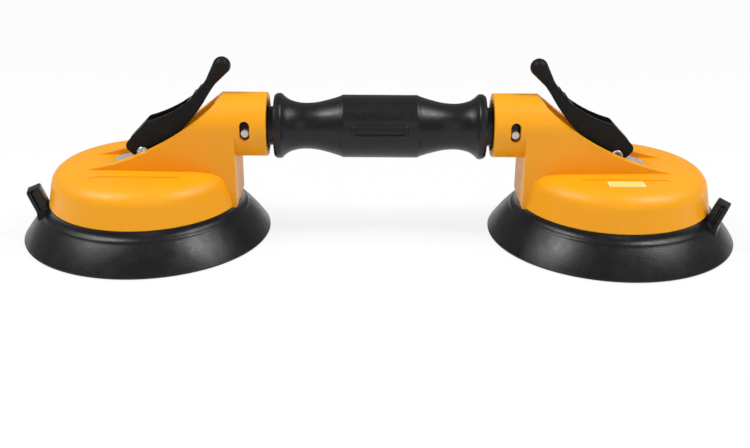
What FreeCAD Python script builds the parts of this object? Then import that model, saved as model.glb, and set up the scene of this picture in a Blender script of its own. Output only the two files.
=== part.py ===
"""Double-cup suction lifter for floor tiles: two lever-operated suction heads on one hand grip.

Each head is drawn once in its own frame: origin on the floor under the cup axis, +X towards the
handle, +Z up. The left head is moved to -X as drawn, the right head is turned half a turn about Z.
"""
import FreeCAD, Part
import math
import os

V = FreeCAD.Vector
X_AXIS = V(1, 0, 0)
Y_AXIS = V(0, 1, 0)
Z_AXIS = V(0, 0, 1)

# ---- driving dimensions, mm ----------------------------------------------------------------
CUP_SPACING = 229.0            # between the two cup axes
HANDLE_HEIGHT = 54.0           # handle axis above the floor

PAD_RADIUS = 60.0              # sealing lip
LIP_BAND = 4.0                 # flat sealing band under the lip
LIP_THICKNESS = 2.9
PAD_RECESS = 2.0               # underside of the pad's middle above the floor
PAD_SHOULDER = 1.9             # the pad stands out this far under the housing rim
PAD_SHOULDER_Z = 14.1
PAD_RING_WIDTH = 8.4           # thick ring of the pad, inwards from the housing rim
PAD_RING_RISE = 2.8            # ring top above the rim, inside the skirt
MEMBRANE_RADIUS = 31.5
MEMBRANE_TOP_Z = 6.0
BEAD_RADIUS = 38.0             # inner bead of the underside
GROOVE_RADII = (12.0, 20.0, 28.0)
GROOVE_HALF = 0.8
TAB_TURN = 8.0                 # release tab, degrees round from the outward side
TAB_LEAN = 22.8
TAB_WIDTH = 5.8
TAB_THICKNESS = 5.3
TAB_LENGTH = 11.8
TAB_FOOT_Z = 6.7
TAB_FOOT_INSET = 10.1          # foot of the tab inwards from the sealing lip

CORE_RADIUS = 26.0
CORE_THICKNESS = 2.0
CORE_SEAT_RISE = 1.2
CORE_HOLE_RADIUS = 2.5
CORE_HOLE_CIRCLE = 18.0

HOUSING_RIM_Z = 17.7           # lower edge of the housing skirt
HOUSING_RIM_RADIUS = 46.6
HOUSING_WALL_RADIUS = 44.7
HOUSING_SHOULDER_Z = 27.6      # top of the skirt, where the shoulder starts
HOUSING_TOP_Z = 35.6
HOUSING_WALL = 3.2
RIB_COUNT = 8
RIB_THICKNESS = 2.2
RIB_LOW_Z = 23.6
HUB_RADIUS = 10.5
HUB_LOW_Z = 21.0
CHEEK_TIP_X = -26.5            # where the cheeks run out into the housing top
CHEEK_TIP_OUTER = 13.4         # half width over the two cheeks at their low ends
CHEEK_HOLLOW = 6.17            # depth of the hollow curve below its chord
CHEEK_FLARE = 26.0             # length of full width behind the neck's face
CHANNEL_HALF = 9.3             # half width of the lever channel
CHANNEL_TOE_X = 13.0           # where the channel floor starts to climb
CHANNEL_END_X = 36.4
CHANNEL_END_Z = 66.0
CREST_X = 40.2                 # where the cheeks reach the top of the collar
NECK_FACE_X = 46.0             # face of the neck towards the handle
COLLAR_RADIUS = 15.3           # also half the width over the cheeks at the neck
COLLAR_BORE_RADIUS = 11.6
COLLAR_RISE = 0.8              # collar axis above the handle axis, which hangs low in the bore
COLLAR_BACK_X = 42.3           # blind end of the bore
COLLAR_MOUTH_X = 61.0
SLOT_WIDTH = 4.8
SLOT_HEIGHT = 9.3
SLOT_RISE = 1.5                # slot centre above the handle axis
PANEL_Y = 27.0                 # shallow label panels either side of the cheeks
PANEL_HALF_LENGTH = 22.0
PANEL_HALF_WIDTH = 4.4
PANEL_DEPTH = 0.35
LABEL_LENGTH = 16.6
LABEL_WIDTH = 6.6

PLATE_THICKNESS = 1.5
PLATE_TOP_Z = 37.0
PLATE_HALF_LENGTH = 13.8
PLATE_HALF_WIDTH = 9.0
PIVOT_X = 0.8                  # lever pivot from the cup axis, towards the handle
PIVOT_Z = 42.1                 # lever pivot above the floor, released
PIVOT_RADIUS = 2.2
LUG_RADIUS = 4.8
LUG_THICKNESS = 5.4
LUG_FOOT_RADIUS = 7.4
LUG_FOOT_HEIGHT = 2.6

LEVER_HALF_WIDTH = 6.5
LEVER_WALL = 1.9
LEVER_BACK = 8.6               # pivot to the face that lies over the wear plate when locked
LEVER_HEEL = 3.8               # pivot to the heel face
HEEL_CORNER = 3.0              # rounding that lifts the pad as the lever goes over
LEVER_FRONT = 3.1              # pivot to the underside
LEVER_TILT = 46.5              # degrees, released lever above the horizontal
POCKET_START = 11.5            # open pocket in the lever's upper side, along the arm
POCKET_END = 33.4
STEP_START = 33.6              # first finger step along the arm
STEP_COUNT = 4
STEP_LAP = 3.6                 # last step's end beyond the thin end of the stem
KNOB_RADIUS = 4.2
KNOB_REACH = 56.8              # pivot to the middle of the round knob, along the arm
KNOB_OUT = 0.0                 # knob's middle above the arm's own axis
NECK_RADIUS = 2.2
NECK_OUT = -1.4                # thin end of the stem below the arm's own axis
NECK_LENGTH = 10.8             # from the knob's middle back to the thin end of its stem

CROSS_PIN_X = 51.0
CROSS_PIN_RADIUS = 2.0
CROSS_PIN_LENGTH = 27.6
SHAFT_RADIUS = 9.3             # handle stub that enters a collar
SHAFT_REACH = 7.0              # stub end beyond the cross pin
SPIGOT_RADIUS = 8.0
SPIGOT_LENGTH = 12.0
TUBE_RADIUS = 6.0
TUBE_WALL = 1.5
TUBE_SETBACK = 2.0             # tube end inside the stub end
GRIP_LENGTH = 100.6
GRIP_CENTRE_RADIUS = 15.0
GRIP_CENTRE_HALF = 17.2        # half length of the straight middle
GRIP_WAIST_RADIUS = 11.0
GRIP_WAIST_X = 34.6
GRIP_FLANGE_RADIUS = 15.6
GRIP_FLANGE_WIDTH = 3.7
FRAME_LENGTH = 26.0            # raised frame on the front of the grip
FRAME_HEIGHT = 5.4
FRAME_LIP = 0.9
FRAME_RISE = 0.45
FRAME_TURN = 7.0               # degrees above straight ahead

RUNNING = 0.06                 # radial clearance of a turning fit
SLIDING = 0.4                  # clearance of a part that slides in a moulded slot
SEATING = 0.25                 # clearance round a part laid in a recess
FAR = 90.0                     # reach of a cutting tool beyond the head
SPLAY = 20.0


# ---- drawing helpers -------------------------------------------------------------------------
def face(steps, to3d):
    """Closed face from 2-D steps: (a, b) is a line to a point, ((a, b), sag) an arc to it.

    The arc's middle stands off the straight line by sag, to the left of travel.
    """
    here = steps[0]
    edges = []
    for step in steps[1:] + [here]:
        if isinstance(step[0], tuple):
            end, sag = step
            span = math.dist(here, end)
            through = ((here[0] + end[0]) / 2 - sag * (end[1] - here[1]) / span,
                       (here[1] + end[1]) / 2 + sag * (end[0] - here[0]) / span)
            arc = Part.Arc(to3d(*here), to3d(*through), to3d(*end))
            edges.append(arc.toShape())
            here = end
        elif math.dist(here, step) > 1e-6:
            edges.append(Part.makeLine(to3d(*here), to3d(*step)))
            here = step
    return Part.Face(Part.Wire(edges))


def turned(steps):
    """Solid of revolution about Z from (radius, z) steps."""
    profile = face(steps, lambda r, z: V(r, 0, z))
    return profile.revolve(V(0, 0, 0), Z_AXIS, 360)


def side_slab(steps, low_y, high_y):
    """Slab between two Y planes from (x, z) steps."""
    profile = face(steps, lambda x, z: V(x, low_y, z))
    return profile.extrude(V(0, high_y - low_y, 0))


def plan_slab(steps, low_z, high_z):
    """Slab between two Z planes from (x, y) steps."""
    profile = face(steps, lambda x, y: V(x, y, low_z))
    return profile.extrude(V(0, 0, high_z - low_z))


def box(x0, x1, y0, y1, z0, z1):
    return Part.makeBox(x1 - x0, y1 - y0, z1 - z0, V(x0, y0, z0))


def stadium(half_length, half_width, low_z, high_z, centre_y=0.0):
    """Flat plate with round ends along X."""
    s = half_length - half_width
    w = half_width
    c = centre_y
    steps = [(-s, c - w), (s, c - w), ((s, c + w), -w), (-s, c + w), ((-s, c - w), -w)]
    return plan_slab(steps, low_z, high_z)


def along_x(radius, x0, x1, z):
    return Part.makeCylinder(radius, x1 - x0, V(x0, 0, z), X_AXIS)


def along_y(radius, y0, y1, x, z):
    return Part.makeCylinder(radius, y1 - y0, V(x, y0, z), Y_AXIS)


def rounded(shape, radius, wanted):
    """Fillet the edges that the test picks."""
    return shape.makeFillet(radius, [e for e in shape.Edges if wanted(e)])


def between(first, last, share):
    return first + (last - first) * share


# ---- suction pad -----------------------------------------------------------------------------
def make_pad():
    """Rubber pad: thin sealing lip, thick ring under the housing skirt, thin middle."""
    rim = HOUSING_RIM_Z
    rim_radius = HOUSING_RIM_RADIUS
    shoulder = rim_radius + PAD_SHOULDER
    ring = rim_radius - PAD_RING_WIDTH
    seat = rim_radius - HOUSING_WALL - SLIDING
    band = PAD_RADIUS - 0.5 - LIP_BAND
    body = turned([
        (0, PAD_RECESS), (MEMBRANE_RADIUS - 0.5, PAD_RECESS),
        ((BEAD_RADIUS, PAD_RECESS - 0.8), 0.16), (BEAD_RADIUS + 1.5, PAD_RECESS + 0.2),
        (band - 3.0, PAD_RECESS - 0.6), ((band, 0), -0.1), (PAD_RADIUS - 0.5, 0),
        ((PAD_RADIUS, 1.3), -0.2), ((PAD_RADIUS - 1.1, LIP_THICKNESS), -0.26),
        ((shoulder + 1.3, PAD_SHOULDER_Z - 0.9), -0.28), ((shoulder, PAD_SHOULDER_Z), -0.15),
        ((rim_radius + 0.1, rim), 0.38), (seat, rim), (seat - 0.3, rim + PAD_RING_RISE),
        (ring, rim + PAD_RING_RISE), (ring - 0.8, MEMBRANE_TOP_Z * 2),
        ((MEMBRANE_RADIUS, MEMBRANE_TOP_Z), 1.94), (0, MEMBRANE_TOP_Z),
    ])
    g = GROOVE_HALF
    grooves = [turned([(r - g, 1), (r - g, PAD_RECESS), ((r + g, PAD_RECESS), 0.7), (r + g, 1)])
               for r in GROOVE_RADII]
    return body.cut(Part.makeCompound(grooves)).fuse(make_tab()).removeSplitter()


def make_tab():
    """Release tab: a leaning block with a finger groove in each side."""
    w = TAB_WIDTH / 2
    t = TAB_THICKNESS / 2
    tab = rounded(box(-w, w, -t, t, 0, TAB_LENGTH), 0.6, lambda e: e.BoundBox.ZMax > TAB_LENGTH - 0.1)
    low = TAB_LENGTH * 0.35
    grooves = [Part.makeCylinder(0.7, TAB_LENGTH - low - 2.0, V(s * w, 0, low)) for s in (-1, 1)]
    tab = tab.cut(Part.makeCompound(grooves))
    tab.rotate(V(0, 0, 0), X_AXIS, TAB_LEAN)
    tab.rotate(V(0, 0, 0), Z_AXIS, 90)
    tab.translate(V(PAD_RADIUS - TAB_FOOT_INSET, 0, TAB_FOOT_Z))
    tab.rotate(V(0, 0, 0), Z_AXIS, 180 - TAB_TURN)
    return tab


def make_core():
    """Steel disc bonded in the middle of the pad, with a raised seat for the lug."""
    top = MEMBRANE_TOP_Z + CORE_THICKNESS
    seat = LUG_FOOT_RADIUS + 0.6
    disc = turned([(0, MEMBRANE_TOP_Z), (CORE_RADIUS, MEMBRANE_TOP_Z), (CORE_RADIUS, top - 0.5),
                   (CORE_RADIUS - 0.5, top), (seat + 1.5, top), (seat, top + CORE_SEAT_RISE),
                   (0, top + CORE_SEAT_RISE)])
    holes = [Part.makeCylinder(CORE_HOLE_RADIUS, FAR, V(CORE_HOLE_CIRCLE * math.cos(a),
                                                        CORE_HOLE_CIRCLE * math.sin(a), 0))
             for a in (i * math.pi / 3 for i in range(6))]
    return disc.cut(Part.makeCompound(holes))


def make_lug():
    """Flat draw bar that stands on the core disc and carries the lever pivot."""
    foot = MEMBRANE_TOP_Z + CORE_THICKNESS + CORE_SEAT_RISE
    r = LUG_RADIUS
    w = LUG_THICKNESS / 2
    bar = side_slab([(-r, foot), (r, foot), (r, PIVOT_Z), ((-r, PIVOT_Z), -r)], -w, w)
    flange = turned([(0, foot), (LUG_FOOT_RADIUS, foot), (LUG_FOOT_RADIUS, foot + LUG_FOOT_HEIGHT - 0.8),
                     (LUG_FOOT_RADIUS - 0.8, foot + LUG_FOOT_HEIGHT), (0, foot + LUG_FOOT_HEIGHT)])
    eye = along_y(PIVOT_RADIUS + RUNNING, -w, w, 0, PIVOT_Z)
    lug = bar.fuse(flange).cut(eye).removeSplitter()
    lug.translate(V(PIVOT_X, 0, 0))
    return lug


# ---- housing ---------------------------------------------------------------------------------
def make_housing():
    """Moulded cap over the pad with two cheeks, the lever channel, the neck and the collar."""
    rim = HOUSING_RIM_Z
    top = HOUSING_TOP_Z
    wall = HOUSING_WALL
    shoulder = HOUSING_SHOULDER_Z
    out = HOUSING_WALL_RADIUS
    inside = out - wall
    cap = turned([
        (0, rim), (HOUSING_RIM_RADIUS - 0.3, rim), (HOUSING_RIM_RADIUS, rim + 0.4),
        ((out, shoulder), 0.06), ((out - 7.7, top - 0.7), -1.85), ((out - 18.7, top), -0.28), (0, top),
    ])
    bore = HOUSING_RIM_RADIUS - wall
    hollow = turned([
        (0, rim - 1), (bore, rim - 1), (bore - 0.2, rim + wall), (inside, shoulder - 1.0),
        ((inside - 5.5, top - wall - 1.0), -1.23), (inside - 11.5, top - wall), (0, top - wall),
    ])
    body = cap.fuse([make_cheeks(), make_collar()]).cut(hollow.fuse(make_core_out()))
    body = body.fuse(make_inner_ribs().common(cap))
    plate_seat = stadium(PLATE_HALF_LENGTH + SEATING, PLATE_HALF_WIDTH + SEATING,
                         PLATE_TOP_Z - PLATE_THICKNESS, FAR)
    panels = [stadium(PANEL_HALF_LENGTH, PANEL_HALF_WIDTH, top - PANEL_DEPTH, top + 3, s * PANEL_Y)
              for s in (-1, 1)]
    axis = HANDLE_HEIGHT + COLLAR_RISE
    socket = along_x(COLLAR_BORE_RADIUS, COLLAR_BACK_X, COLLAR_MOUTH_X + 1, axis)
    mouth = Part.makeCone(COLLAR_BORE_RADIUS, COLLAR_BORE_RADIUS + 1.0, 1.0,
                          V(COLLAR_MOUTH_X - 1.0, 0, axis), X_AXIS)
    cuts = [make_channel(), plate_seat, lug_way(), socket, mouth, make_pin_slot()] + panels
    return body.cut(Part.makeCompound(cuts)).removeSplitter()


def lug_way():
    """Clear way of the draw lug through the wear plate and the housing roof."""
    x = LUG_RADIUS + SLIDING
    y = LUG_THICKNESS / 2 + SLIDING
    return box(PIVOT_X - x, PIVOT_X + x, -y, y, MEMBRANE_TOP_Z, PLATE_TOP_Z + 1)


def make_cheeks():
    """Both cheeks and the neck as one arched block, cut down along a hollow curve."""
    w = COLLAR_RADIUS
    t = CHEEK_TIP_OUTER
    low = HOUSING_RIM_Z
    axis = HANDLE_HEIGHT + COLLAR_RISE
    start = CHEEK_TIP_X - 7.5
    knee = NECK_FACE_X - CHEEK_FLARE
    plan = plan_slab([(start, -t), (knee, -w), (NECK_FACE_X, -w), (NECK_FACE_X, w), (knee, w), (start, t)],
                     low, FAR)
    arch = along_x(COLLAR_RADIUS, start, NECK_FACE_X, axis)
    arch = arch.fuse(box(start, NECK_FACE_X, -w, w, low, axis))
    crest = axis + COLLAR_RADIUS + 0.3
    tip = HOUSING_TOP_Z - 0.3
    above = side_slab([(start - 2, tip - 2.1), (CHEEK_TIP_X, tip), ((CREST_X, crest), -CHEEK_HOLLOW),
                       (CREST_X, FAR), (start - 2, FAR)], -SPLAY, SPLAY)
    ground = box(start - 2, CHEEK_TIP_X + 6.5, -SPLAY, SPLAY, 0, HOUSING_TOP_Z - HOUSING_WALL - 0.8)
    return arch.common(plan).cut(above).cut(ground)


def make_channel():
    """Slot for the lever between the cheeks; its floor climbs towards the collar."""
    floor = PLATE_TOP_Z - PLATE_THICKNESS
    h = CHANNEL_HALF
    steps = [(-SPLAY * 2, floor), (CHANNEL_TOE_X, floor), ((CHANNEL_END_X, CHANNEL_END_Z), -CHEEK_HOLLOW),
             (CHANNEL_END_X, FAR), (-SPLAY * 2, FAR)]
    channel = side_slab(steps, -h, h)
    shelf = box(-SPLAY * 2, -PLATE_HALF_LENGTH, -h, h, floor - 1, HOUSING_TOP_Z)
    return channel.cut(shelf)


def make_collar():
    z = HANDLE_HEIGHT + COLLAR_RISE
    collar = along_x(COLLAR_RADIUS, COLLAR_BACK_X - 2, COLLAR_MOUTH_X, z)
    return rounded(collar, 0.7, lambda e: e.BoundBox.XMin > COLLAR_MOUTH_X - 0.1)


def make_core_out():
    """Pocket that hollows the neck from below."""
    w = COLLAR_RADIUS - HOUSING_WALL - 0.4
    roof = HANDLE_HEIGHT + COLLAR_RISE - COLLAR_RADIUS - 1.9
    pocket = box(NECK_FACE_X - 12, NECK_FACE_X - HOUSING_WALL - 0.2, -w, w, HOUSING_RIM_Z + 5, roof)
    return rounded(pocket, 1.5, lambda e: e.BoundBox.ZLength > 5)


def make_inner_ribs():
    """Radial stiffeners and the hub under the housing roof, drawn past the skirt."""
    top = HOUSING_TOP_Z - 2
    reach = HOUSING_WALL_RADIUS
    inner = reach - HOUSING_WALL + 0.1
    web = [(HUB_RADIUS - 2.5, RIB_LOW_Z), (inner, RIB_LOW_Z), (inner - 0.4, HOUSING_SHOULDER_Z + 0.4),
           (reach - 9.7, top - 1.4), (HUB_RADIUS - 2.5, top)]
    ribs = [side_slab(web, -RIB_THICKNESS / 2, RIB_THICKNESS / 2) for _ in range(RIB_COUNT)]
    for i, rib in enumerate(ribs):
        rib.rotate(V(0, 0, 0), Z_AXIS, (i + 0.5) * 360 / RIB_COUNT)
    hub = Part.makeCylinder(HUB_RADIUS, top - HUB_LOW_Z, V(0, 0, HUB_LOW_Z))
    return hub.fuse(ribs)


def make_pin_slot():
    """Upright slot through both sides of the collar, over the cross pin."""
    r = SLOT_WIDTH / 2
    z = HANDLE_HEIGHT + SLOT_RISE
    s = SLOT_HEIGHT / 2 - r
    x = CROSS_PIN_X
    steps = [(x - r, z - s), ((x + r, z - s), -r), (x + r, z + s), ((x - r, z + s), -r)]
    return side_slab(steps, -SPLAY, SPLAY)


def make_wear_plate():
    plate = stadium(PLATE_HALF_LENGTH, PLATE_HALF_WIDTH, PLATE_TOP_Z - PLATE_THICKNESS, PLATE_TOP_Z)
    plate = rounded(plate, 0.35, lambda e: e.BoundBox.ZMin > PLATE_TOP_Z - 0.01)
    return plate.cut(lug_way())


# ---- lever -----------------------------------------------------------------------------------
def lever_point(along, out, y=0.0):
    """Point of the released lever: along the arm from the pivot, and out from its upper side."""
    a = math.radians(LEVER_TILT)
    return V(PIVOT_X + along * math.cos(a) - out * math.sin(a), y,
             PIVOT_Z + along * math.sin(a) + out * math.cos(a))


def lever_slab(steps, low_y, high_y):
    profile = face(steps, lambda along, out: lever_point(along, out, low_y))
    return profile.extrude(V(0, high_y - low_y, 0))


def make_lever():
    """Cam lever: forked heel over the lug, open pocket in the arm, finger steps, stem and knob."""
    w = LEVER_HALF_WIDTH
    heel = -LEVER_HEEL
    front = -LEVER_FRONT
    back = LEVER_BACK
    corner = HEEL_CORNER
    crown = POCKET_START - 0.3
    bend = corner * (1 - math.sqrt(0.5))
    steps_end = KNOB_REACH - NECK_LENGTH + STEP_LAP
    pitch = (steps_end - STEP_START) / STEP_COUNT
    outline = [(heel, front + 0.9), (heel, back - corner), ((heel + corner, back), bend),
               (crown, back), ((crown + 2.4, back - 0.7), 0.2),
               ((STEP_START - 4.6, 1.5), -0.58), (STEP_START, 0.5)]
    outline += [((STEP_START + (i + 1) * pitch, 0.9), -0.45) for i in range(STEP_COUNT)]
    outline += [(steps_end + 0.8, 0.7), (steps_end + 0.8, -3.1), (steps_end, -3.4),
                ((steps_end - 10.6, -5.1), -0.2), ((crown + 1.3, -5.5), 1.1),
                ((1.5, front), 0.2), (heel + 0.9, front)]
    arm = lever_slab(outline, -w, w).common(lever_plan())
    arm = arm.fuse(make_knob())
    r = LUG_RADIUS + SLIDING
    s = r * math.sqrt(0.5)
    y = LUG_THICKNESS / 2 + SLIDING
    top = back + 4
    fork = lever_slab([(-8, -8), (s, -8), (s, -s), ((r, 0), -r * (1 - math.cos(math.pi / 8))),
                       (r, top), (-8, top)], -y, y)
    hollow = lever_slab([(POCKET_START, top), (POCKET_START, 0.5), ((POCKET_START + 2, -2.0), -0.67),
                         (POCKET_END - 6.4, -2.4), ((POCKET_END, 1.4), -0.88), (POCKET_END + 0.8, top)],
                        -w + LEVER_WALL, w - LEVER_WALL)
    hole = along_y(PIVOT_RADIUS, -2 * w, 2 * w, PIVOT_X, PIVOT_Z)
    return arm.cut(Part.makeCompound([fork, hollow, hole])).removeSplitter()


def make_knob():
    """Pear-shaped end of the lever: a stem that widens into a round knob."""
    r = KNOB_RADIUS
    root = lever_point(KNOB_REACH - NECK_LENGTH, NECK_OUT)
    middle = lever_point(KNOB_REACH, KNOB_OUT)
    axis = middle - root
    length = axis.Length
    lean = math.asin((r - NECK_RADIUS) / length)
    touch = (r * math.cos(lean), -r * math.sin(lean))
    arc = r * (1 - math.cos((math.pi / 2 + lean) / 2))
    knob = turned([(0, -length), (NECK_RADIUS, -length), touch, ((0, r), -arc)])
    knob.rotate(V(0, 0, 0), Y_AXIS, math.degrees(math.atan2(axis.x, axis.z)))
    knob.translate(middle)
    return knob


def lever_plan():
    """Outline of the lever seen square to its arm."""
    w = LEVER_HALF_WIDTH
    n = NECK_RADIUS
    waist = KNOB_REACH - NECK_LENGTH + 1
    flank = waist - 25
    steps = [(-10, -w), (flank, -w), ((waist, -n), -0.9), (KNOB_REACH, -n), (KNOB_REACH, n), (waist, n),
             ((flank, w), -0.9), (-10, w)]
    slab = face(steps, lambda along, y: V(along, y, -FAR)).extrude(V(0, 0, FAR * 2))
    slab.rotate(V(0, 0, 0), Y_AXIS, -LEVER_TILT)
    slab.translate(V(PIVOT_X, 0, PIVOT_Z))
    return slab


def make_lever_pin():
    """Pivot pin: domed head on one side, rolled tubular end on the other."""
    w = LEVER_HALF_WIDTH
    r = PIVOT_RADIUS
    bore = r - 1.0
    profile = face([(0, -w - 1.0), ((r + 0.5, -w), -0.33), (r, -w), (r, w), (r + 0.5, w),
                    ((r - 0.3, w + 0.8), -0.42), ((bore, w - 0.2), -0.32),
                    (bore, w - 5.0), (0, w - 5.6)], lambda a, b: V(a, b, 0))
    pin = profile.revolve(V(0, 0, 0), Y_AXIS, 360)
    pin.translate(V(PIVOT_X, 0, PIVOT_Z))
    return pin


# ---- handle ----------------------------------------------------------------------------------
def make_cross_pin():
    half = CROSS_PIN_LENGTH / 2
    pin = along_y(CROSS_PIN_RADIUS, -half, half, CROSS_PIN_X, HANDLE_HEIGHT)
    return pin.makeChamfer(0.4, [e for e in pin.Edges if e.BoundBox.YLength < 0.01])


def make_stub():
    """Black end piece of the handle: spigot in the grip, shaft in the collar."""
    z = HANDLE_HEIGHT
    grip_end = (CUP_SPACING - GRIP_LENGTH) / 2
    tip = CROSS_PIN_X - SHAFT_REACH
    shaft = along_x(SHAFT_RADIUS, tip, grip_end, z)
    shaft = shaft.makeChamfer(1.0, [e for e in shaft.Edges if e.BoundBox.XMax < tip + 0.01])
    spigot = along_x(SPIGOT_RADIUS, grip_end, grip_end + SPIGOT_LENGTH, z)
    bore = along_x(TUBE_RADIUS, tip + TUBE_SETBACK, grip_end + SPIGOT_LENGTH + 1, z)
    cross = along_y(CROSS_PIN_RADIUS + RUNNING, -SPLAY, SPLAY, CROSS_PIN_X, z)
    return shaft.fuse(spigot).cut(bore.fuse(cross)).removeSplitter()


def make_tube():
    """Steel tube through the whole handle, cross-drilled for both pins."""
    reach = CUP_SPACING / 2 - CROSS_PIN_X
    half = reach + SHAFT_REACH - TUBE_SETBACK
    tube = along_x(TUBE_RADIUS, -half, half, HANDLE_HEIGHT)
    inner = along_x(TUBE_RADIUS - TUBE_WALL, -half - 1, half + 1, HANDLE_HEIGHT)
    cross = [along_y(CROSS_PIN_RADIUS + RUNNING, -SPLAY, SPLAY, s * reach, HANDLE_HEIGHT) for s in (-1, 1)]
    return tube.cut(Part.makeCompound([inner] + cross))


def make_grip():
    """Moulded hand grip: flanged ends, two waists, swollen middle, raised window frame in front."""
    end = GRIP_LENGTH / 2
    flange = GRIP_FLANGE_RADIUS
    waist = GRIP_WAIST_RADIUS
    waist_x = GRIP_WAIST_X
    mid = GRIP_CENTRE_RADIUS
    mid_x = GRIP_CENTRE_HALF
    root = end - GRIP_FLANGE_WIDTH
    half = [(0, mid), (mid_x, mid), ((mid_x + 1.8, mid - 0.6), 0.14),
            ((between(mid_x, waist_x, 0.53), between(mid, waist, 0.7)), -0.09), ((waist_x, waist), -0.26),
            ((between(waist_x, root, 0.67), between(waist, flange, 0.28)), -0.41),
            ((root, flange - 0.4), -0.28), ((root + 1.3, flange), 0.14), (end - 1.3, flange),
            (end, flange - 0.8), (end, SPIGOT_RADIUS), (end - SPIGOT_LENGTH, SPIGOT_RADIUS),
            (end - SPIGOT_LENGTH, TUBE_RADIUS), (0, TUBE_RADIUS)]
    profile = face(half, lambda x, r: V(x, 0, r))
    right = profile.revolve(V(0, 0, 0), X_AXIS, 360)
    left = right.mirror(V(0, 0, 0), X_AXIS)
    grip = right.fuse(left).removeSplitter()
    proud = Part.makeCylinder(mid + FRAME_RISE, FAR, V(-FAR / 2, 0, 0), X_AXIS)
    sunk = Part.makeCylinder(mid - 0.35, FAR, V(-FAR / 2, 0, 0), X_AXIS)
    frame = window_slab(FRAME_LENGTH, FRAME_HEIGHT, 1.3).common(proud)
    inside = window_slab(FRAME_LENGTH - 2 * FRAME_LIP, FRAME_HEIGHT - 2 * FRAME_LIP, 0.8).cut(sunk)
    grip = grip.fuse(frame).cut(inside)
    grip.rotate(V(0, 0, 0), X_AXIS, -FRAME_TURN)
    grip.translate(V(0, 0, HANDLE_HEIGHT))
    return grip


def window_slab(length, height, corner):
    """Rounded rectangle facing forward, as a bar from inside the grip to beyond its skin."""
    skin = GRIP_CENTRE_RADIUS
    bar = box(-length / 2, length / 2, -skin - 5, -skin + 3, -height / 2, height / 2)
    return rounded(bar, corner, lambda e: e.BoundBox.YLength > 7)


def make_label():
    """Blank sticker on the top panel."""
    z = HOUSING_TOP_Z - PANEL_DEPTH
    middle_x = 0.2
    middle_y = PANEL_Y + 0.9
    label = box(middle_x - LABEL_LENGTH / 2, middle_x + LABEL_LENGTH / 2,
                middle_y - LABEL_WIDTH / 2, middle_y + LABEL_WIDTH / 2, z, z + 0.2)
    return rounded(label, 0.5, lambda e: e.BoundBox.ZLength > 0.1)


# ---- assembly --------------------------------------------------------------------------------
def place(shape, side):
    """Head part to its own end of the handle."""
    out = shape.copy()
    if side > 0:
        out.rotate(V(0, 0, 0), Z_AXIS, 180)
    out.translate(V(side * CUP_SPACING / 2, 0, 0))
    return out


HEAD_PARTS = {
    "pad": make_pad(),
    "core_disc": make_core(),
    "draw_lug": make_lug(),
    "housing": make_housing(),
    "wear_plate": make_wear_plate(),
    "lever": make_lever(),
    "lever_pin": make_lever_pin(),
    "cross_pin": make_cross_pin(),
    "handle_end": make_stub(),
}

nodes = {"grip_sleeve": make_grip(), "handle_tube": make_tube(), "right_label": place(make_label(), 1)}
for name, shape in HEAD_PARTS.items():
    nodes["left_" + name] = place(shape, -1)
    nodes["right_" + name] = place(shape, 1)

os.makedirs("parts", exist_ok=True)
for name, shape in nodes.items():
    shape.exportStep("parts/" + name + ".step")
    print(name, len(shape.Solids), shape.isValid(), round(shape.Volume))
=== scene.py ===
"""Two-cup floor tile lifter: finishes, fine moulded detail, floor, light and camera."""
import math

import bmesh
import bpy
from mathutils import Matrix, Vector


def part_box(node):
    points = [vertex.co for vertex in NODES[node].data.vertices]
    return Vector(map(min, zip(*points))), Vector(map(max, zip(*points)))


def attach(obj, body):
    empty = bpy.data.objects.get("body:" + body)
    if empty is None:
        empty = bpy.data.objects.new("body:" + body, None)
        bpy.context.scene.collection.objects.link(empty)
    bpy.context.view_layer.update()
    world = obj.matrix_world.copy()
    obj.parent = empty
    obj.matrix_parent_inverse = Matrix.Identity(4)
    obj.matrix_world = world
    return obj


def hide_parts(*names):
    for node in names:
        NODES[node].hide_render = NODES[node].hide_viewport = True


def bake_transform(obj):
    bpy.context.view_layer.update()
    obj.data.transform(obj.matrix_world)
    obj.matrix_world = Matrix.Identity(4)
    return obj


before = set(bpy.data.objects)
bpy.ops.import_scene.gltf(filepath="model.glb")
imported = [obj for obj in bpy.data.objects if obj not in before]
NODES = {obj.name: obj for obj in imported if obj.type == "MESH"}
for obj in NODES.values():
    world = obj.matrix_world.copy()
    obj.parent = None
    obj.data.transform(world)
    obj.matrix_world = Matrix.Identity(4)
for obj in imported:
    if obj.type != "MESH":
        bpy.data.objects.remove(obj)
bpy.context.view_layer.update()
SIDES = ("left", "right")
MM = 0.001

# camera
CAMERA_PLACE = (-0.0035, -0.4756, 0.2012)
CAMERA_PITCH = 22.62           # degrees down
CAMERA_YAW = 0.175
CAMERA_ROLL = 0.43
LENS_MM = 49.48
SENSOR_MM = 36

# lamps and backdrop: name, place, target, size in metres, watts
BOX_SIZE = (0.5, 0.7)
STRIP_SIZE = (0.08, 0.3)
LAMPS = (
    ("left_box", (-0.7, -0.12, 0.95), (-0.05, 0, 0.03), BOX_SIZE, 5.8),
    ("right_box", (0.7, -0.12, 0.95), (0.05, 0, 0.03), BOX_SIZE, 5.8),
    ("left_strip", (-0.66, -0.27, 1.04), (-0.1145, -0.04, 0), STRIP_SIZE, 2.6),
    ("right_strip", (0.66, -0.27, 1.04), (0.1145, -0.04, 0), STRIP_SIZE, 2.6),
    ("front_box", (0.15, -1.3, 0.55), (0, 0, 0.05), BOX_SIZE, 1.2),
)
WORLD_LIGHT = 0.27
FLOOR_HALF = 3.0
FLOOR_DROP = 0.0002            # keeps the floor clear of the lips
FLOOR_WHITE_NEAR = 0.85        # share of plain white near the tool, where shadows fall
FLOOR_WHITE_FROM = 0.3         # distances between which that share grows to 1
FLOOR_WHITE_TO = 1.2

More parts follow.
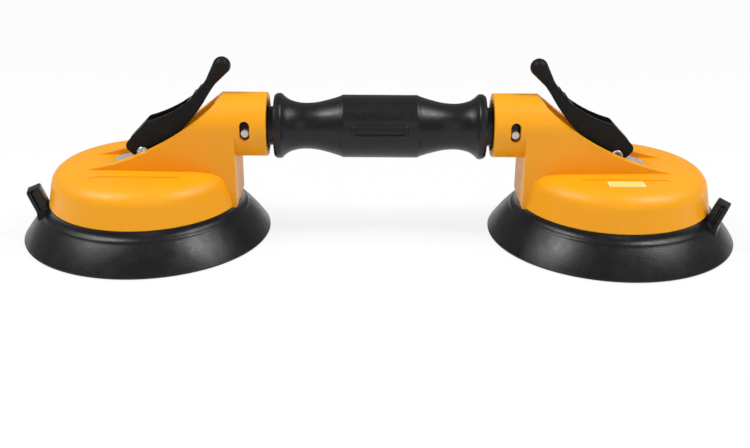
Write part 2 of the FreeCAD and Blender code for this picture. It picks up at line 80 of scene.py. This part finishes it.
# rubber pads; radii and heights in mm
PAD_RADIUS = 60
PAD_SEGMENTS = 180
RECESS_Z = 2                   # underside of the pad's middle above the floor
GROOVE_RADII = (12, 20, 28)    # ring grooves in the underside
GROOVE_HALF = 0.8
GROOVE_DEPTH = 0.7
BEAD_RADIUS = 38               # bead between the middle and the cone
LIP_IN = 55.5                  # flat sealing band of the lip
LIP_OUT = 59.5
LIP_EDGE_Z = 0.9
SHOULDER = (49.8, 13.2)        # top of the cone
SHOULDER_TOP = (48.6, 14.5)
SKIRT_SEAT = (46.7, 17.7)      # ring that the housing's skirt stands on
RING_OUT = 43.0                # thick ring inside the skirt
RING_IN = 38.2
RING_TOP_Z = 20.5
MEMBRANE_TOP_Z = 6
MEMBRANE_RADIUS = 31.5
RING_FOOT = (37.4, 12.0)

# release tabs
TAB_WIDTH = 0.0084
TAB_THICKNESS = 0.0066
TAB_CORNER = 0.0006
TAB_CORNER_POINTS = 5
TAB_GROOVE = 0.0012
TAB_GROOVE_SHIFT = 0.0006
TAB_GROOVE_ACROSS = (0.9, 0.45, -0.45, -0.9)    # mm from the groove's middle
TAB_LEAN = 20                  # degrees outwards
TAB_FOOT = (0.0491, 0.0135)    # radius and height where the tab leaves the cone
TAB_TURNS = {"left": 12, "right": 28}    # degrees from the outward side to the front
# stations up the tab: share of the groove's depth, scale of the outline, height in mm
TAB_STATIONS = (
    (0, 1.35, -3.4), (0, 1.28, -1.2), (0, 1.16, 0.0), (0, 1.05, 0.9), (0.4, 1.0, 1.6),
    (1, 1.0, 2.4), (1, 1.0, 7.0), (1, 1.0, 11.4),
    (0.5, 0.98, 12.1), (0, 0.9, 12.6), (0, 0.72, 12.8),
)

# raised frame on the grip, and the label
FRAME_SIZE = (0.0256, 0.005)   # centre line of the frame
FRAME_CORNER = 0.0013
FRAME_BEAD = 0.0006            # radius of the frame's rounded crest
FRAME_BEAD_POINTS = 10
FRAME_TURN = 7                 # degrees the frame stands above straight ahead
GRIP_SKIN = 0.0151             # radius that the crest's middle follows
LABEL_EDGE = 0.0004            # white edge of the blank label
LABEL_SOFTNESS = 0.0001


# ---- camera, floor and light -----------------------------------------------------------------
def make_camera():
    """Long-lens view from the front, a little above the tool and rolled by half a degree."""
    pitch = math.radians(CAMERA_PITCH)
    yaw = math.radians(CAMERA_YAW)
    roll = math.radians(CAMERA_ROLL)
    ahead = math.cos(pitch)
    forward = Vector((math.sin(yaw) * ahead, math.cos(yaw) * ahead, -math.sin(pitch)))
    level = Vector((math.cos(yaw), -math.sin(yaw), 0))
    over = level.cross(forward)
    right = level * math.cos(roll) + over * math.sin(roll)
    up = over * math.cos(roll) - level * math.sin(roll)
    data = bpy.data.cameras.new("camera")
    data.sensor_width = SENSOR_MM
    data.lens = LENS_MM
    data.clip_start = 0.01
    camera = bpy.data.objects.new("camera", data)
    bpy.context.scene.collection.objects.link(camera)
    turn = Matrix((right, up, -forward)).transposed().to_4x4()
    camera.matrix_world = Matrix.Translation(CAMERA_PLACE) @ turn
    bpy.context.scene.camera = camera
    bpy.context.scene.view_settings.view_transform = "Standard"


def area_lamp(name, place, target, size, power):
    data = bpy.data.lights.new(name, "AREA")
    data.shape = "RECTANGLE"
    data.size = size[0]
    data.size_y = size[1]
    data.energy = power
    lamp = bpy.data.objects.new(name, data)
    bpy.context.scene.collection.objects.link(lamp)
    lamp.location = place
    lamp.rotation_euler = (Vector(target) - Vector(place)).to_track_quat("-Z", "Y").to_euler()


# ---- node helpers ----------------------------------------------------------------------------
class Finish:
    """A procedural material, put together with short calls."""

    def __init__(self, name, **sockets):
        self.material = bpy.data.materials.new(name)
        self.material.use_nodes = True
        self.tree = self.material.node_tree
        self.shader = self.tree.nodes["Principled BSDF"]
        self.coords = self.tree.nodes.new("ShaderNodeTexCoord").outputs["Object"]
        for socket, value in sockets.items():
            self.shader.inputs[socket.replace("_", " ")].default_value = value

    def node(self, kind, inputs=(), **settings):
        made = self.tree.nodes.new(kind)
        for key, value in settings.items():
            setattr(made, key, value)
        for socket, value in dict(inputs).items():
            if isinstance(value, bpy.types.NodeSocket):
                self.tree.links.new(value, made.inputs[socket])
            else:
                made.inputs[socket].default_value = value
        return made

    def noise(self, scale, detail=2.0, roughness=0.5, stretch=(1, 1, 1), distortion=0.0):
        """Grey noise; scale is per metre."""
        place = self.node("ShaderNodeMapping", {"Vector": self.coords, "Scale": stretch})
        made = self.node("ShaderNodeTexNoise", {
            "Vector": place.outputs[0], "Scale": scale, "Detail": detail,
            "Roughness": roughness, "Distortion": distortion})
        return made.outputs["Fac"]

    def specks(self, scale, size, patch_scale, patch_detail, low, high):
        """Small dots at cell centres, kept only in the high patches of a broader noise."""
        cells = self.node("ShaderNodeTexVoronoi", {"Vector": self.coords, "Scale": scale})
        dots = self.span(cells.outputs["Distance"], size, 0.02)
        patches = self.span(self.noise(patch_scale, patch_detail), low, high)
        return self.maths("MULTIPLY", dots, patches)

    def span(self, value, low, high, to_low=0.0, to_high=1.0):
        made = self.node("ShaderNodeMapRange", {
            "Value": value, "From Min": low, "From Max": high, "To Min": to_low, "To Max": to_high})
        return made.outputs["Result"]

    def maths(self, operation, a, b=0.0):
        return self.node("ShaderNodeMath", {0: a, 1: b}, operation=operation).outputs[0]

    def blend(self, share, first, second):
        made = self.node("ShaderNodeMix", {0: share, 6: first, 7: second}, data_type="RGBA")
        return made.outputs[2]

    def set(self, socket, value):
        self.tree.links.new(value, self.shader.inputs[socket])

    def bump(self, *layers):
        """Layers of (height, depth in metres), stacked."""
        normal = None
        for height, depth in layers:
            inputs = {"Height": height, "Distance": depth, "Strength": 1.0}
            if normal is not None:
                inputs["Normal"] = normal
            normal = self.node("ShaderNodeBump", inputs).outputs["Normal"]
        self.set("Normal", normal)


def rgb(red, green, blue):
    """Colour from 0-255 display values."""
    def linear(level):
        share = level / 255
        return share / 12.92 if share <= 0.04045 else ((share + 0.055) / 1.055) ** 2.4
    return (linear(red), linear(green), linear(blue), 1.0)


# ---- finishes --------------------------------------------------------------------------------
def housing_finish():
    """Orange moulded nylon: satin skin with spark-eroded grain, faint flow streaks and dust."""
    f = Finish("housing_plastic", Specular_IOR_Level=0.38)
    cloud = f.span(f.noise(28, 3), 0.3, 0.7)
    streak = f.span(f.noise(60, 4, 0.6, (1, 0.25, 1), 0.8), 0.35, 0.75)
    colour = f.blend(cloud, rgb(249, 168, 14), rgb(245, 162, 10))
    colour = f.blend(f.maths("MULTIPLY", streak, 0.35), colour, rgb(251, 172, 20))
    dust = f.span(f.noise(900, 2, 0.5), 0.66, 0.74)
    colour = f.blend(f.maths("MULTIPLY", dust, 0.22), colour, rgb(214, 140, 30))
    f.set("Base Color", colour)
    f.set("Roughness", f.span(f.noise(220, 4, 0.6), 0.3, 0.7, 0.33, 0.46))
    f.bump((f.noise(2600, 2, 0.5), 0.00004), (f.noise(120, 2), 0.00006))
    return f.material


def lever_finish():
    """Black glass-filled nylon: fine grain, pale dust specks and scuffs."""
    f = Finish("lever_plastic", Specular_IOR_Level=0.18)
    specks = f.specks(900, 0.1, 240, 2, 0.5, 0.62)
    cloud = f.span(f.noise(90, 4, 0.65), 0.35, 0.7)
    colour = f.blend(cloud, rgb(16, 16, 17), rgb(24, 23, 24))
    f.set("Base Color", f.blend(f.maths("MULTIPLY", specks, 0.7), colour, rgb(120, 122, 126)))
    f.set("Roughness", f.span(f.noise(500, 3, 0.6), 0.3, 0.7, 0.38, 0.56))
    f.bump((f.noise(1800, 3, 0.6), 0.00006), (f.noise(260, 2), 0.00008))
    return f.material


def grip_finish():
    """Black moulded grip, smoother than the lever."""
    f = Finish("grip_plastic", Specular_IOR_Level=0.35)
    cloud = f.span(f.noise(70, 4, 0.6), 0.35, 0.7)
    colour = f.blend(cloud, rgb(17, 17, 19), rgb(24, 24, 27))
    specks = f.specks(600, 0.09, 120, 2, 0.52, 0.66)
    f.set("Base Color", f.blend(f.maths("MULTIPLY", specks, 0.5), colour, rgb(90, 90, 94)))
    f.set("Roughness", f.span(f.noise(300, 4, 0.65), 0.3, 0.7, 0.27, 0.4))
    f.bump((f.noise(2200, 2), 0.00002), (f.noise(90, 2), 0.00012))
    return f.material


def rubber_finish():
    """Dark natural rubber: bloom and dust specks."""
    f = Finish("pad_rubber", Specular_IOR_Level=0.35)
    bloom = f.span(f.noise(45, 5, 0.65, distortion=0.6), 0.4, 0.72)
    colour = f.blend(bloom, rgb(15, 15, 17), rgb(26, 26, 29))
    specks = f.specks(700, 0.12, 150, 3, 0.5, 0.64)
    f.set("Base Color", f.blend(f.maths("MULTIPLY", specks, 0.6), colour, rgb(120, 118, 116)))
    f.set("Roughness", f.span(f.noise(160, 5, 0.65), 0.3, 0.7, 0.25, 0.37))
    f.bump((f.noise(1500, 3, 0.6), 0.00005), (f.noise(70, 2), 0.0002))
    return f.material


def steel_finish(name, pale, dark, roughness, brushed, metallic=1.0):
    """Bare or zinc-plated steel with fine drawn marks and a little tarnish."""
    f = Finish(name, Metallic=metallic)
    marks = f.noise(700, 4, 0.6, brushed)
    tarnish = f.span(f.noise(130, 3), 0.4, 0.75)
    colour = f.blend(f.span(marks, 0.35, 0.65), pale, dark)
    f.set("Base Color", f.blend(f.maths("MULTIPLY", tarnish, 0.35), colour, dark))
    f.set("Roughness", f.span(marks, 0.3, 0.7, roughness - 0.06, roughness + 0.1))
    f.bump((marks, 0.00002))
    return f.material


def label_finish():
    """Blank film: pale yellow face, faintly mottled, with a white unprinted edge."""
    f = Finish("label_film", Specular_IOR_Level=0.5)
    low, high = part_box("right_label")
    place = f.node("ShaderNodeSeparateXYZ", {0: f.coords}).outputs
    inside = 1.0
    for axis in (0, 1):
        middle = (low[axis] + high[axis]) / 2
        edge = (high[axis] - low[axis]) / 2 - LABEL_EDGE
        away = f.maths("ABSOLUTE", f.maths("SUBTRACT", place[axis], middle))
        share = f.span(away, edge + LABEL_SOFTNESS, edge - LABEL_SOFTNESS)
        inside = f.maths("MULTIPLY", share, inside)
    mottle = f.span(f.noise(1400, 2), 0.35, 0.65)
    face = f.blend(mottle, rgb(246, 232, 128), rgb(236, 216, 104))
    f.set("Base Color", f.blend(inside, rgb(250, 246, 222), face))
    f.set("Roughness", f.span(f.noise(700, 2), 0.3, 0.7, 0.25, 0.38))
    f.bump((f.noise(900, 2), 0.00002))
    return f.material


def floor_finish():
    """Matt white sweep that shows white to the eye and still takes the tool's shadow."""
    f = Finish("floor_white", Base_Color=(0.92, 0.92, 0.92, 1), Roughness=0.5,
               Specular_IOR_Level=0.25)
    path = f.node("ShaderNodeLightPath").outputs
    seen = f.maths("ADD", path["Is Camera Ray"], path["Is Glossy Ray"])
    seen = f.maths("ADD", seen, path["Is Transmission Ray"])
    glow = f.node("ShaderNodeEmission", {"Color": (1, 1, 1, 1), "Strength": 1.0})
    away = f.node("ShaderNodeVectorMath", {0: f.coords}, operation="LENGTH").outputs["Value"]
    white = f.span(away, FLOOR_WHITE_FROM, FLOOR_WHITE_TO, FLOOR_WHITE_NEAR, 1.0)
    share = f.maths("MULTIPLY", f.maths("MINIMUM", seen, 1.0), white)
    mixed = f.node("ShaderNodeMixShader", {0: share, 1: f.shader.outputs[0], 2: glow.outputs[0]})
    output = f.tree.nodes["Material Output"]
    f.tree.links.new(mixed.outputs[0], output.inputs["Surface"])
    return f.material


def make_world():
    """Dim even light on the tool, and white where the camera or clear things look past it."""
    world = bpy.data.worlds.new("studio")
    bpy.context.scene.world = world
    world.use_nodes = True
    tree = world.node_tree
    light = tree.nodes["Background"]
    light.inputs["Color"].default_value = (1, 1, 1, 1)
    light.inputs["Strength"].default_value = WORLD_LIGHT
    seen = tree.nodes.new("ShaderNodeBackground")
    seen.inputs["Color"].default_value = (1, 1, 1, 1)
    seen.inputs["Strength"].default_value = 1.0
    path = tree.nodes.new("ShaderNodeLightPath")
    mix = tree.nodes.new("ShaderNodeMixShader")
    seen_share = tree.nodes.new("ShaderNodeMath")
    seen_share.operation = "MAXIMUM"
    tree.links.new(path.outputs["Is Camera Ray"], seen_share.inputs[0])
    tree.links.new(path.outputs["Is Transmission Ray"], seen_share.inputs[1])
    tree.links.new(seen_share.outputs[0], mix.inputs[0])
    tree.links.new(light.outputs[0], mix.inputs[1])
    tree.links.new(seen.outputs[0], mix.inputs[2])
    tree.links.new(mix.outputs[0], tree.nodes["World Output"].inputs["Surface"])


def make_floor():
    half = FLOOR_HALF
    mesh = bpy.data.meshes.new("floor")
    corners = [(-half, -half, 0), (half, -half, 0), (half, half, 0), (-half, half, 0)]
    mesh.from_pydata(corners, [], [(0, 1, 2, 3)])
    mesh.materials.append(floor_finish())
    floor = bpy.data.objects.new("floor", mesh)
    bpy.context.scene.collection.objects.link(floor)
    floor.location.z = -FLOOR_DROP


def paint(node, material):
    for slot in NODES[node].material_slots:
        slot.material = material


# ---- rubber pads -----------------------------------------------------------------------------
def arc_points(start, end, sag, count):
    """Points after start up to end, along an arc whose middle stands off the chord by sag."""
    span = math.dist(start, end)
    along = ((end[0] - start[0]) / span, (end[1] - start[1]) / span)
    radius = (span * span / 4 + sag * sag) / (2 * abs(sag))
    side = math.copysign(1, sag)
    half = math.asin(span / 2 / radius)
    points = []
    for i in range(1, count + 1):
        turn = half * (2 * i / count - 1)
        step = span / 2 + radius * math.sin(turn)
        rise = side * radius * (math.cos(turn) - math.cos(half))
        points.append((start[0] + along[0] * step - along[1] * rise,
                       start[1] + along[1] * step + along[0] * rise))
    return points


def line_points(start, end, count):
    """Points after start up to end, evenly spaced."""
    run = (end[0] - start[0], end[1] - start[1])
    return [(start[0] + run[0] * i / count, start[1] + run[1] * i / count)
            for i in range(1, count + 1)]


def pad_profile():
    """Half section of the pad, (radius, z) in metres, from the underside's middle to the top."""
    path = [(0.0, RECESS_Z * MM)]

    def line(radius, z, count=1):
        path.extend(line_points(path[-1], (radius * MM, z * MM), count))

    def arc(radius, z, sag, count=6):
        path.extend(arc_points(path[-1], (radius * MM, z * MM), sag * MM, count))

    for groove in GROOVE_RADII:
        line(groove - GROOVE_HALF, RECESS_Z, 4)
        arc(groove + GROOVE_HALF, RECESS_Z, GROOVE_DEPTH)
    line(BEAD_RADIUS - 7, RECESS_Z, 3)
    arc(BEAD_RADIUS, RECESS_Z - 0.8, 0.16)
    line(BEAD_RADIUS + 1.5, RECESS_Z + 0.2)
    line(LIP_IN - 3, RECESS_Z - 0.6, 4)
    arc(LIP_IN, 0.0, -0.1)
    line(LIP_OUT, 0.0, 2)
    arc(PAD_RADIUS, LIP_EDGE_Z, -0.14)
    arc(*SHOULDER, -0.4, 16)
    arc(*SHOULDER_TOP, -0.12)
    arc(*SKIRT_SEAT, 0.36, 8)
    line(RING_OUT, SKIRT_SEAT[1])
    line(RING_OUT - 0.3, RING_TOP_Z)
    line(RING_IN, RING_TOP_Z)
    line(*RING_FOOT, 3)
    arc(MEMBRANE_RADIUS, MEMBRANE_TOP_Z, 1.94, 8)
    line(0.0, MEMBRANE_TOP_Z, 14)
    return path


def tab_section(share):
    """Outline of the release tab across its length, with a finger groove each side."""
    half_w = TAB_WIDTH / 2
    half_t = TAB_THICKNESS / 2
    soft = TAB_CORNER
    points = []
    for corner, (sx, sy) in enumerate(((1, 1), (-1, 1), (-1, -1), (1, -1))):
        for i in range(TAB_CORNER_POINTS):
            turn = math.pi / 2 * (corner + i / (TAB_CORNER_POINTS - 1))
            points.append((sx * (half_t - soft) + soft * math.cos(turn),
                           sy * (half_w - soft) + soft * math.sin(turn)))
        if corner in (0, 2):
            y = sy * half_w
            cut = TAB_GROOVE * share
            depth = (0, cut, cut, 0)
            points += [(TAB_GROOVE_SHIFT + sx * a * MM, y - sy * d)
                       for a, d in zip(TAB_GROOVE_ACROSS, depth)]
    return points


def tab_rings(turn):
    """Rings of the tab from inside the cone to its end, about the pad's axis."""
    lean = math.radians(TAB_LEAN)
    foot_radius, foot_z = TAB_FOOT
    rings = []
    for share, scale, height in TAB_STATIONS:
        ring = []
        for radial, side in tab_section(share):
            r = foot_radius + radial * scale * math.cos(lean) + height * MM * math.sin(lean)
            z = foot_z + height * MM * math.cos(lean) - radial * scale * math.sin(lean)
            b = side * scale
            ring.append((r * math.cos(turn) - b * math.sin(turn),
                         r * math.sin(turn) + b * math.cos(turn), z))
        rings.append(ring)
    return rings


def make_pad(side):
    """Rubber pad at rest, turned round the core disc with its release tab; on the real pad the
    middle is drawn up with the core disc while the lip stays on the tile.
    """
    low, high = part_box(side + "_core_disc")
    centre = ((low[0] + high[0]) / 2, (low[1] + high[1]) / 2)
    profile = pad_profile()
    mesh = bmesh.new()
    first = mesh.verts.new((centre[0], centre[1], profile[0][1]))
    last = mesh.verts.new((centre[0], centre[1], profile[-1][1]))
    turns = [2 * math.pi * i / PAD_SEGMENTS for i in range(PAD_SEGMENTS)]
    rings = []
    for radius, z in profile[1:-1]:
        rings.append([mesh.verts.new((centre[0] + radius * math.cos(a),
                                      centre[1] + radius * math.sin(a), z)) for a in turns])
    for i in range(PAD_SEGMENTS):
        j = (i + 1) % PAD_SEGMENTS
        mesh.faces.new((first, rings[0][j], rings[0][i]))
        mesh.faces.new((last, rings[-1][i], rings[-1][j]))
        for inner, outer in zip(rings, rings[1:]):
            mesh.faces.new((inner[i], inner[j], outer[j], outer[i]))
    turn = math.radians(TAB_TURNS[side])
    outward = math.pi + turn if side == "left" else -turn
    tab = [[mesh.verts.new((centre[0] + x, centre[1] + y, z)) for x, y, z in ring]
           for ring in tab_rings(outward)]
    count = len(tab[0])
    for lower, upper in zip(tab, tab[1:]):
        for i in range(count):
            j = (i + 1) % count
            mesh.faces.new((lower[i], lower[j], upper[j], upper[i]))
    mesh.faces.new(tab[-1])
    mesh.faces.new(list(reversed(tab[0])))
    bmesh.ops.recalc_face_normals(mesh, faces=mesh.faces)
    pad = piece_from(mesh, side + "_pad_rubber", FINISHES["pad"], sharp=32)
    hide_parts(side + "_pad")
    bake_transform(pad)


def rounded_loop(length, height, corner, per_corner=7):
    """Points round a rounded rectangle, with the outward direction at each."""
    loop = []
    for quarter, (sx, sy) in enumerate(((1, 1), (-1, 1), (-1, -1), (1, -1))):
        for i in range(per_corner):
            turn = math.pi / 2 * (quarter + i / (per_corner - 1))
            out = (math.cos(turn), math.sin(turn))
            loop.append((sx * (length / 2 - corner) + corner * out[0],
                         sy * (height / 2 - corner) + corner * out[1], out))
    return loop


def make_grip_frame():
    """Rounded crest of the raised frame on the front of the grip."""
    low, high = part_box("grip_sleeve")
    axis_z = (low[2] + high[2]) / 2
    mesh = bmesh.new()
    rings = []
    for along, up, out in rounded_loop(*FRAME_SIZE, FRAME_CORNER):
        ring = []
        for i in range(FRAME_BEAD_POINTS):
            turn = 2 * math.pi * i / FRAME_BEAD_POINTS
            spread = FRAME_BEAD * math.cos(turn)
            radius = GRIP_SKIN + FRAME_BEAD * math.sin(turn)
            angle = (up + spread * out[1]) / GRIP_SKIN + math.radians(FRAME_TURN)
            ring.append(mesh.verts.new((along + spread * out[0], -radius * math.cos(angle),
                                        axis_z + radius * math.sin(angle))))
        rings.append(ring)
    for here, after in zip(rings, rings[1:] + rings[:1]):
        for i in range(FRAME_BEAD_POINTS):
            j = (i + 1) % FRAME_BEAD_POINTS
            mesh.faces.new((here[i], here[j], after[j], after[i]))
    bmesh.ops.recalc_face_normals(mesh, faces=mesh.faces)
    frame_bead = piece_from(mesh, "grip_frame_crest", FINISHES["handle_end"])
    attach(frame_bead, "handle")


def piece_from(mesh, name, material, sharp=None):
    """Object from a bmesh, smooth shaded, with edges above the sharp angle kept crisp."""
    data = bpy.data.meshes.new(name)
    mesh.to_mesh(data)
    mesh.free()
    data.polygons.foreach_set("use_smooth", [True] * len(data.polygons))
    if sharp:
        data.set_sharp_from_angle(angle=math.radians(sharp))
    data.materials.append(material)
    made = bpy.data.objects.new(name, data)
    bpy.context.scene.collection.objects.link(made)
    return made


make_camera()
make_floor()
make_world()
for lamp in LAMPS:
    area_lamp(*lamp)

# per piece of a head; steel: pale and dark colour, roughness, direction of the marks, metallic
FINISHES = {
    "housing": housing_finish(),
    "lever": lever_finish(),
    "pad": rubber_finish(),
    "wear_plate": steel_finish(
        "plate_steel", rgb(222, 224, 229), rgb(192, 194, 199), 0.42, (1, 0.08, 1), 0.3),
    "draw_lug": steel_finish(
        "lug_steel", rgb(200, 202, 206), rgb(160, 162, 166), 0.38, (1, 1, 0.1)),
    "core_disc": steel_finish(
        "core_steel", rgb(190, 190, 192), rgb(150, 150, 152), 0.4, (1, 0.1, 1)),
    "lever_pin": steel_finish(
        "pin_steel", rgb(232, 233, 236), rgb(190, 192, 196), 0.24, (1, 0.2, 1), 0.7),
    "cross_pin": steel_finish(
        "cross_pin_steel", rgb(226, 228, 232), rgb(180, 182, 186), 0.3, (1, 0.2, 1), 0.5),
    "handle_end": grip_finish(),
}
for side in SIDES:
    for part, finish in FINISHES.items():
        paint(side + "_" + part, finish)
paint("grip_sleeve", FINISHES["handle_end"])
paint("handle_tube", FINISHES["draw_lug"])
paint("right_label", label_finish())
for side in SIDES:
    make_pad(side)
make_grip_frame()
